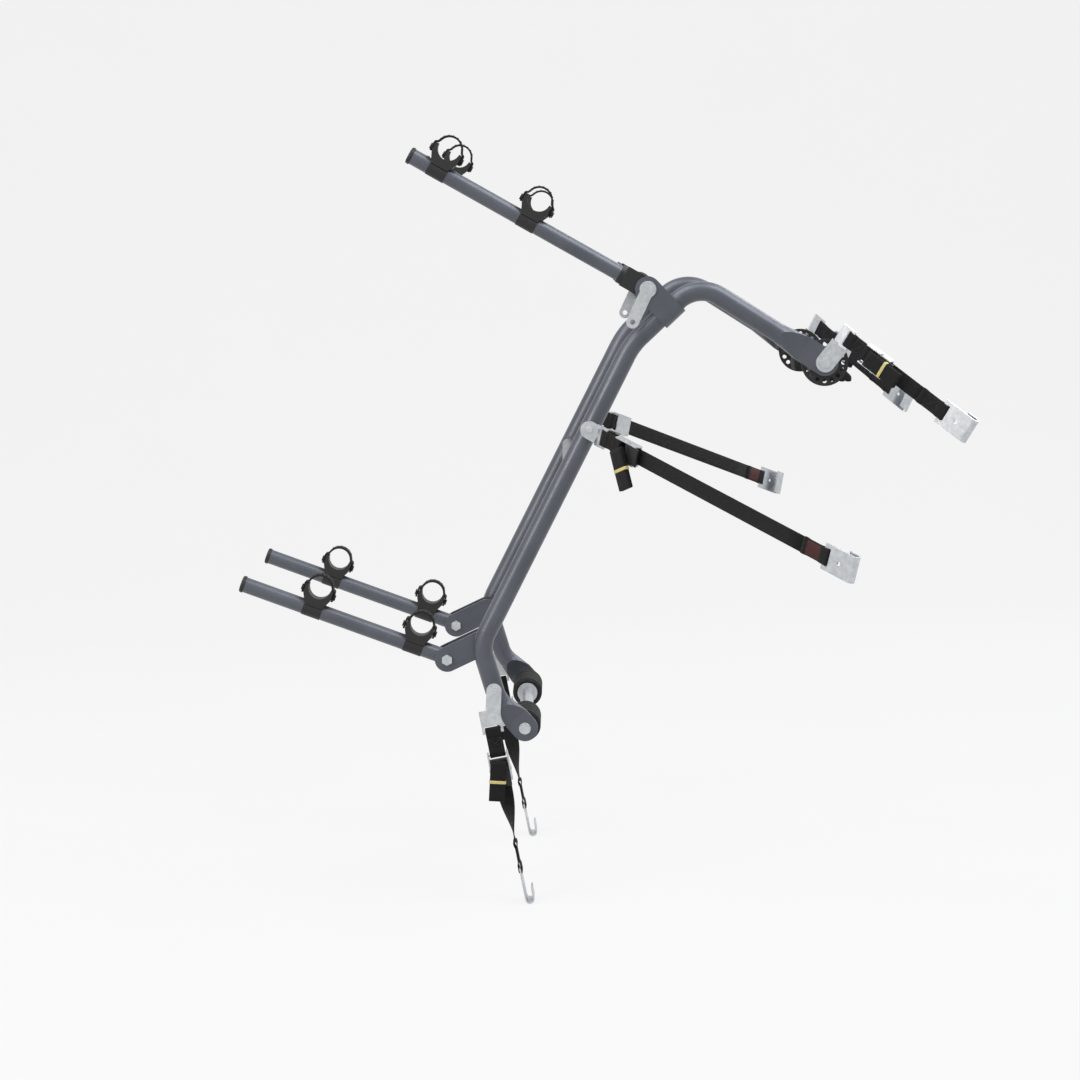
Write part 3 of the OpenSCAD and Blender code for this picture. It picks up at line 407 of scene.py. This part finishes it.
# the run behind the cam: its fold, and where the lower straps start to twist
FOLD_AT, FOLD_R, FOLD_STEPS, SEW_LAP = 52.25, 3.0, 6, 1.2
FOLD_HEIGHTS, RUN_GUIDE = (13.65, 8.0, 4.0), 58.0
RUN_STEPS, TWIST_FROM, TWIST_STEPS = 10, 90.0, 30
# the folded tail and the band round it
TAIL_AT, TAIL_Z, TAIL_LEN, TAIL_STEP, TAIL_LAYERS = 50.0, 12.95, 62.0, 2.1, 4
TAIL_BULGE, TAIL_STEPS, TURN_STEPS, TAIL_ROOT = 0.25, 12, 8, -1.5
BAND_AT, BAND_W, BAND_T, BAND_OFF, BAND_R = 30.0, 5.0, 0.8, 0.6, 1.1
# thread: the sewn box and cross, and the close rows of a bar tack
STITCH_Z, STITCH_INSET, STITCH_PITCH, STITCH_RISE = 1.62, 3.2, 2.9, 0.22
STITCH_ENDS, STITCH_R, STITCH_MID_R = (0.14, 0.86), 0.16 * MM, 0.3 * MM
LOOP_BOX, HOOK_BOX, TACK_BOX = (14.5, 31.5), (-30.5, -8.5), (-33.0, -7.0)
TACK_INSET, TACK_PITCH, TACK_SLANT = 1.6, 1.3, 0.4
TACK_ROW = ((-1.0, 0.0), (-0.96, 0.3), (0.0, 0.42), (0.96, 0.3), (1.0, 0.0))
TACK_R, TACK_END_R = 0.55 * MM, 0.3 * MM
# points along the cord's path, through its middle
PATH_Z, PATH_STEPS = 0.9, 40


class Strap:
    """A strap's own frame on the right side: x along the run, y across the webbing, z off its face."""

    def __init__(self, kind, tail, twist):
        lever, hook = joints[kind + "_lever_right_press"], mounts[kind + "_hook_right"]
        self.kind, self.twist = kind, math.radians(twist)
        self.u = Vector(hook["axis"]).normalized()
        self.w = Vector(lever["axis"]).normalized()
        self.n = self.u.cross(self.w)
        self.start = Vector(lever["pos_m"]) - PIN_AT * MM * self.u - PIN_Z * MM * self.n
        self.length = (Vector(hook["pos_m"]) - self.start).dot(self.u) / MM - HOOK_LEN
        tail = Vector(tail).normalized()
        self.turn = math.atan2(tail.dot(self.w), tail.dot(self.u))

    def at(self, x, y, z):
        return self.start + MM * (x * self.u + y * self.w + z * self.n)

    def vec(self, x, y, z):
        return x * self.u + y * self.w + z * self.n

    def local(self, p, is_point):
        """A point or a direction at the bracket's end."""
        return self.at(*p) if is_point else self.vec(*p)

    def hooked(self, p, is_point):
        """A point or a direction at the hook's end, past the strap's twist."""
        cos, sin = math.cos(self.twist), math.sin(self.twist)
        y, z = p[1] * cos - p[2] * sin, p[1] * sin + p[2] * cos
        return self.at(self.length + p[0], y, RUN_Z + z) if is_point else self.vec(p[0], y, z)

    def tailed(self, p, is_point):
        """A point or a direction on the folded tail, which hangs off the buckle at its own angle."""
        cos, sin = math.cos(self.turn), math.sin(self.turn)
        x, y = p[0] * cos - p[1] * sin, p[0] * sin + p[1] * cos
        return self.at(TAIL_AT + x, y, TAIL_Z + p[2]) if is_point else self.vec(x, y, p[2])


def loop_line(a, b, sewn):
    """Middle of a sewn loop in (x, z): round at both ends, its two layers sewn together between."""
    def gap(x):
        off = max(sewn[0] - x, x - sewn[1], 0.0)
        return LOOP_R + (SEWN_HALF - LOOP_R) * ease(max(0.0, 1 - off / LOOP_EASE))

    xs = [a + (b - a) * i / LOOP_STEPS for i in range(LOOP_STEPS + 1)]
    angles = [math.pi * i / END_STEPS for i in range(1, END_STEPS)]
    line = [(x, gap(x)) for x in xs]
    line += [(b + gap(b) * math.sin(q), gap(b) * math.cos(q)) for q in angles]
    line += [(x, -gap(x)) for x in reversed(xs)]
    line += [(a - gap(a) * math.sin(q), -gap(a) * math.cos(q)) for q in angles]
    return line


def framed(line, place, closed):
    """Frames of a strip whose middle is a line in (x, z); place turns points and directions to the part's."""
    frames, last = [], len(line) - 1
    for i, (x, z) in enumerate(line):
        before = line[i - 1] if closed or i else line[0]
        after = line[(i + 1) % len(line)] if closed or i < last else line[-1]
        d = heading(before, after)
        frames.append((place((x, 0, z), True), place((0, 1, 0), False), place((-d.y, 0, d.x), False)))
    return frames


def stitches(build, place, box, z):
    """Box and cross of stitches on one face of a sewn loop."""
    half = WEB_W / 2 - STITCH_INSET
    corners = [(box[0], -half), (box[1], -half), (box[1], half), (box[0], half)]
    lines = [(corners[i], corners[(i + 1) % 4]) for i in range(4)]
    lines += [(corners[0], corners[2]), (corners[1], corners[3])]
    rise = math.copysign(STITCH_RISE, z)
    for (ax, ay), (bx, by) in lines:
        count = max(2, round(math.hypot(bx - ax, by - ay) / STITCH_PITCH))
        for i in range(count):
            f0, f1 = [(i + f) / count for f in STITCH_ENDS]
            points = []
            for f, lift in ((f0, 0.0), ((f0 + f1) / 2, rise), (f1, 0.0)):
                points.append(place((ax + (bx - ax) * f, ay + (by - ay) * f, z + lift), True))
            build.tube(points, [STITCH_R, STITCH_MID_R, STITCH_R], 5, mat=1, up_hint=place((0, 0, 1), False))


def satin(build, place, box, z):
    """Close rows of thread across one face of a sewn loop, as a bar tack has."""
    half = WEB_W / 2 - TACK_INSET
    count = round((box[1] - box[0]) / TACK_PITCH)
    radii = [TACK_END_R] + [TACK_R] * 3 + [TACK_END_R]
    for i in range(count + 1):
        x = box[0] + (box[1] - box[0]) * i / count
        points = []
        for share, lift in TACK_ROW:
            points.append(place((x + TACK_SLANT * share, share * half, z + math.copysign(lift, z)), True))
        build.tube(points, radii, 6, mat=1, up_hint=place((0, 0, 1), False))


def folded_tail():
    """Middle of the folded tail in (x, z): layers one over the other, joined by round turns."""
    line = [(TAIL_ROOT, 0.0)]
    xs = [TAIL_LEN * k / TAIL_STEPS for k in range(TAIL_STEPS + 1)]
    for i in range(TAIL_LAYERS):
        onward = i % 2 == 0
        for x in xs if onward else reversed(xs):
            bulge = TAIL_BULGE * math.sin(math.pi * x / TAIL_LEN) * (i / TAIL_LAYERS)
            line.append((x, i * TAIL_STEP + bulge))
        if i < TAIL_LAYERS - 1:
            end, out = (TAIL_LEN, 1) if onward else (0.0, -1)
            for k in range(1, TURN_STEPS):
                a = math.pi * k / TURN_STEPS
                rise = TAIL_STEP / 2 * (1 - math.cos(a))
                line.append((end + out * TAIL_STEP / 2 * math.sin(a), i * TAIL_STEP + rise))
    return [(x, z + WEB_T / 2) for x, z in line]


def run_frames(s):
    """Frames of the run, from the fold behind the cam to the sewn end at the hook."""
    end = s.length - HOOK_LOOP - SEW_LAP
    line = [(FOLD_AT - FOLD_R, z) for z in FOLD_HEIGHTS]
    for i in range(FOLD_STEPS + 1):
        a = math.pi / 2 * i / FOLD_STEPS
        line.append((FOLD_AT - FOLD_R * math.cos(a), RUN_Z + FOLD_R - FOLD_R * math.sin(a)))
    frames = framed(line + [(RUN_GUIDE, RUN_Z)], s.local, False)[:-1]
    flat_to = TWIST_FROM if s.twist else end
    for i in range(1, RUN_STEPS + 1):
        x = FOLD_AT + (flat_to - FOLD_AT) * i / RUN_STEPS
        frames.append((s.at(x, 0, RUN_Z), s.w, s.n))
    if s.twist:
        for i in range(1, TWIST_STEPS + 1):
            f = i / TWIST_STEPS
            cos, sin = math.cos(s.twist * ease(f)), math.sin(s.twist * ease(f))
            middle = s.at(flat_to + (end - flat_to) * f, 0, RUN_Z)
            frames.append((middle, s.vec(0, cos, sin), s.vec(0, -sin, cos)))
    return frames


def strap_webbing(s, side, word):
    """A strap's loops, run and thread in one piece."""
    b = Build(side)
    width, thick = WEB_W * MM, WEB_T * MM
    b.strip(framed(loop_line(LOOP_FROM, LOOP_TO, LOOP_SEWN), s.local, True), width, thick, True)
    b.strip(framed(loop_line(-HOOK_LOOP, HOOK_LOOP_TO, HOOK_SEWN), s.hooked, True), width, thick, True)
    b.strip(run_frames(s), width, thick)
    for z in (STITCH_Z, -STITCH_Z):
        stitches(b, s.local, LOOP_BOX, z)
        if s.kind == "side":
            satin(b, s.hooked, TACK_BOX, z)
        else:
            stitches(b, s.hooked, HOOK_BOX, z)
    thread = brown_thread if s.kind == "side" else grey_thread
    name = "%s_webbing_%s" % (s.kind, word)
    strap = piece(name, b.mesh("webbing"), "rack", [webbing, thread])
    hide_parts("%s_strap_%s" % (s.kind, word))
    return strap


def strap_tail(s, side, word):
    """A strap's folded tail with the elastic band round it."""
    b = Build(side)
    b.strip(framed(folded_tail(), s.tailed, False), WEB_W * MM, WEB_T * MM)
    high = (TAIL_LAYERS - 1) * TAIL_STEP + WEB_T
    corner_y, corner_top = WEB_W / 2 + BAND_OFF - BAND_R, high + BAND_OFF - BAND_R
    corner_low = BAND_R - BAND_OFF
    ring = []
    for cy, cz, start in ((corner_y, corner_top, 0), (-corner_y, corner_top, 90),
                          (-corner_y, corner_low, 180), (corner_y, corner_low, 270)):
        for k in range(4):
            a = math.radians(start + k * 30)
            ring.append((cy + BAND_R * math.cos(a), cz + BAND_R * math.sin(a)))
    band = []
    for i, (y, z) in enumerate(ring):
        d = heading(ring[i - 1], ring[(i + 1) % len(ring)])
        middle = s.tailed((BAND_AT + BAND_W / 2, y, z), True)
        band.append((middle, s.tailed((1, 0, 0), False), s.tailed((0, -d.y, d.x), False)))
    b.strip(band, BAND_W * MM, BAND_T * MM, True, 1)
    name = "%s_tail_%s" % (s.kind, word)
    tail = piece(name, b.mesh("tail"), "rack", [webbing, elastic])
    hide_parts("strap_bands")
    return tail


straps = (
    # kind, direction of the tail, twist between buckle and hook
    Strap("roof", (92, 132, -104), 0.0),
    Strap("side", (0.1, 0.4, -0.9), 0.0),
    Strap("lower", (0.0, -0.05, -1.0), 90.0),
)
nodes = frame["nodes"]
for s in straps:
    for side, word in SIDES:
        strap = strap_webbing(s, side, word)
        tail = strap_tail(s, side, word)
        span = s.length + HOOK_LOOP_TO - LOOP_FROM
        middle = [s.at(LOOP_FROM + span * i / PATH_STEPS, 0, PATH_Z) for i in range(PATH_STEPS + 1)]

# Rubber straps over the cradles, with moulded ridges that grip the fingers

ARM_ANGLES = {"upper": 150.8, "lower": 160.0}
RUBBER_W, RUBBER_T, ARCH_R, ARCH_UP = 20.0, 3.0, 19.85, 0.1
# one side's middle line from the stud up to the arch, along the arm and up from the groove's centre
RUBBER_LEG = [
    (24.85, -15.6), (24.85, -9.0), (24.8, -3.0), (24.6, -0.4),
    (23.9, 1.0), (22.6, 1.65), (21.2, 2.2), (20.3, 3.4),
]
RIDGE_AT, RIDGE_R, RIDGE_HALF = 21.45, 0.85 * MM, 7.5 * MM


def rubber_line():
    """Middle of a cradle strap: up one leg, over the arch and down the other leg."""
    line = list(RUBBER_LEG)
    for a in range(16, 165, 6):
        angle = math.radians(a)
        line.append((ARCH_R * math.cos(angle), ARCH_UP + ARCH_R * math.sin(angle)))
    return line + [(-x, y) for x, y in reversed(RUBBER_LEG)]


across = Vector((1, 0, 0))
for level, arm_angle in ARM_ANGLES.items():
    along, over = way(arm_angle), way(arm_angle - 90)
    for _, word in SIDES:
        b = Build()
        for which in ("near", "far"):
            centre = Vector(mounts["%s_%s_cradle_%s" % (level, which, word)]["pos_m"])
            line = rubber_line()
            frames = []
            for i, (x, y) in enumerate(line):
                d = heading(line[max(0, i - 1)], line[min(len(line) - 1, i + 1)])
                frames.append((centre + MM * (x * along + y * over), across, d.y * along - d.x * over))
            b.strip(frames, RUBBER_W * MM, RUBBER_T * MM)
            for a in range(40, 141, 20):
                angle = math.radians(a)
                rise = ARCH_UP + RIDGE_AT * math.sin(angle)
                middle = centre + MM * (RIDGE_AT * math.cos(angle) * along + rise * over)
                ridge = [middle - RIDGE_HALF * across, middle, middle + RIDGE_HALF * across]
                b.tube(ridge, RIDGE_R, 8, up_hint=along)
        name, arm = "%s_rubber_straps_%s" % (level, word), "%s_arm_%s" % (level, word)
        strap = piece(name, b.mesh("rubber_straps"), arm, [rubber])
        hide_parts("%s_cradle_straps_%s" % (level, word))

# Roof pads: moulded feet with a grooved sole

PAD_BACK, PAD_FRONT, PAD_DROP, PAD_LIP = 16.0, 44.0, 31.0, 9.0
NECK, BAR_R = 4.0, 11.0
SOLE_GROOVES, SOLE_GROOVE_R, SOLE_ZONE = 5, 1.6, 3.0
PAD_SAMPLES, PAD_SOFTENINGS = 320, 3
PAD_LEN = 80.0
# distance from the pad's inner end, and how far the skin lies under its full size there
PAD_RINGS = ((0.0, 2.2), (0.9, 0.7), (2.4, 0.0), (40.0, 0.0), (77.6, 0.0), (78.5, 0.7), (80.0, 2.2))
PAD_OUTLINE = [
    (-PAD_BACK, -PAD_DROP), (PAD_FRONT, -PAD_DROP), (PAD_FRONT, PAD_LIP - PAD_DROP),
    (BAR_R + NECK, NECK), (-BAR_R - 2 * NECK, 0.0), (-PAD_BACK - 2, PAD_LIP - PAD_DROP),
]


def pad_reach(a):
    """Distance from the bar's axis to the pad's skin along one angle: the sleeve, or the sole block."""
    dx, dy, best = math.cos(a), math.sin(a), BAR_R + 2 * NECK
    for (x0, y0), (x1, y1) in zip(PAD_OUTLINE, PAD_OUTLINE[1:] + PAD_OUTLINE[:1]):
        ex, ey = x1 - x0, y1 - y0
        det = dx * ey - dy * ex
        if abs(det) < 1e-9:
            continue
        r, f = (x0 * ey - y0 * ex) / det, (x0 * dy - y0 * dx) / det
        if r > 0 and 0 <= f <= 1:
            best = max(best, r)
    return best


def grooved(y, z):
    """Height of the sole where a grip groove is cut into it."""
    for i in range(1, SOLE_GROOVES + 1):
        off = y - ((PAD_FRONT + PAD_BACK) * i / (SOLE_GROOVES + 1) - PAD_BACK)
        if z < SOLE_ZONE - PAD_DROP and abs(off) < SOLE_GROOVE_R:
            z = max(z, -PAD_DROP + math.sqrt(SOLE_GROOVE_R ** 2 - off ** 2))
    return z


pad_angles = [2 * math.pi * i / PAD_SAMPLES for i in range(PAD_SAMPLES)]
pad_skin = [pad_reach(a) for a in pad_angles]
for _ in range(PAD_SOFTENINGS):
    onward = pad_skin[1:] + pad_skin[:1]
    back = pad_skin[-1:] + pad_skin[:-1]
    pad_skin = [(p + 2 * q + r) / 4 for p, q, r in zip(back, pad_skin, onward)]
axis = Vector(joints["roof_foot_tilt"]["pos_m"])
low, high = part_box("roof_pads")
b = Build()
for side, outer in ((1, high.x), (-1, low.x)):
    rings = []
    for distance, inset in PAD_RINGS:
        x = outer - side * (PAD_LEN - distance) * MM
        ring = []
        for a, reach in zip(pad_angles, pad_skin):
            y, z = (reach - inset) * math.cos(a), (reach - inset) * math.sin(a)
            ring.append(b.point((x, axis.y + y * MM, axis.z + grooved(y, z) * MM)))
        rings.append(ring)
    for r0, r1 in zip(rings, rings[1:]):
        for i in range(PAD_SAMPLES):
            j = (i + 1) % PAD_SAMPLES
            b.face([r0[i], r0[j], r1[j], r1[i]])
    b.face(rings[0])
    b.face(rings[-1][::-1])
pads = piece("moulded_roof_pads", b.mesh("roof_pads"), "roof_foot", [rubber])
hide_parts("roof_pads")

# Weld beads where the cross tubes meet the main tubes

HALF_TRACK, MAIN_R, CROSS_R = 210.0, 15.5, 12.5
CROSS_ANGLES = {"upper_cross_tube": -32.0, "lower_cross_tube": 63.5}
BEAD_STEPS, BEAD_OFF, BEAD_R = 72, 0.5, 1.7
# the ripple of a weld pool, and a slower unevenness
RIPPLE, RIPPLES, SWELL, SWELLS = 0.22, 24, 0.12, 7

b = Build()
for node, angle in CROSS_ANGLES.items():
    low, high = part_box(node)
    centre = (low + high) / 2
    along, over = way(angle), way(angle - 90)
    for side, _ in SIDES:
        line, radii = [], []
        for i in range(BEAD_STEPS):
            a = 2 * math.pi * i / BEAD_STEPS
            ahead, aside = (CROSS_R + BEAD_OFF) * math.cos(a), (CROSS_R + BEAD_OFF) * math.sin(a)
            x = HALF_TRACK - math.sqrt(MAIN_R ** 2 - aside ** 2) - BEAD_OFF
            line.append(Vector((side * x * MM, centre.y, centre.z)) + MM * (ahead * along + aside * over))
            radii.append((BEAD_R + RIPPLE * math.sin(a * RIPPLES) + SWELL * math.sin(a * SWELLS + 1)) * MM)
        b.tube(line, radii, 8, closed=True, up_hint=across)
piece("weld_beads", b.mesh("weld_beads"), "rack", [paint])

# Finishes of the carried-over nodes

FINISHES = {
    "frame_paint": paint,
    "zinc": zinc,
    "black_plastic": plastic,
    "rubber": rubber,
    "webbing": webbing,
    "band": elastic,
}
slots = {sub["node"]: sub["material_slot"] for sub in record["subparts"]}
for name, obj in nodes.items():
    if not obj.material_slots:
        obj.data.materials.append(FINISHES[slots[name]])
    for holder in obj.material_slots:
        holder.material = FINISHES[slots[name]]

# Floor: seamless paper that curves up behind the object

PAPER_REACH, PAPER_BACK, PAPER_CURVE, PAPER_TOP = 40.0, -3.0, 3.0, 9.0
PAPER_GAP, PAPER_STEPS = 0.001, 16

floor_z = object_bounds()[0].z - PAPER_GAP
sweep = [(PAPER_REACH, 0.0)]
for i in range(PAPER_STEPS + 1):
    a = math.pi / 2 * i / PAPER_STEPS
    sweep.append((PAPER_BACK - PAPER_CURVE * math.sin(a), PAPER_CURVE * (1 - math.cos(a))))
sweep.append((PAPER_BACK - PAPER_CURVE, PAPER_TOP))
bm = bmesh.new()
rows = [[bm.verts.new((x, y, floor_z + z)) for y in (-PAPER_REACH, PAPER_REACH)] for x, z in sweep]
for r0, r1 in zip(rows, rows[1:]):
    bm.faces.new((r0[0], r0[1], r1[1], r1[0])).smooth = True
floor_mesh = bpy.data.meshes.new("floor")
bm.to_mesh(floor_mesh)
bm.free()
floor_mesh.materials.append(paper)
floor = bpy.data.objects.new("floor", floor_mesh)
scene.collection.objects.link(floor)
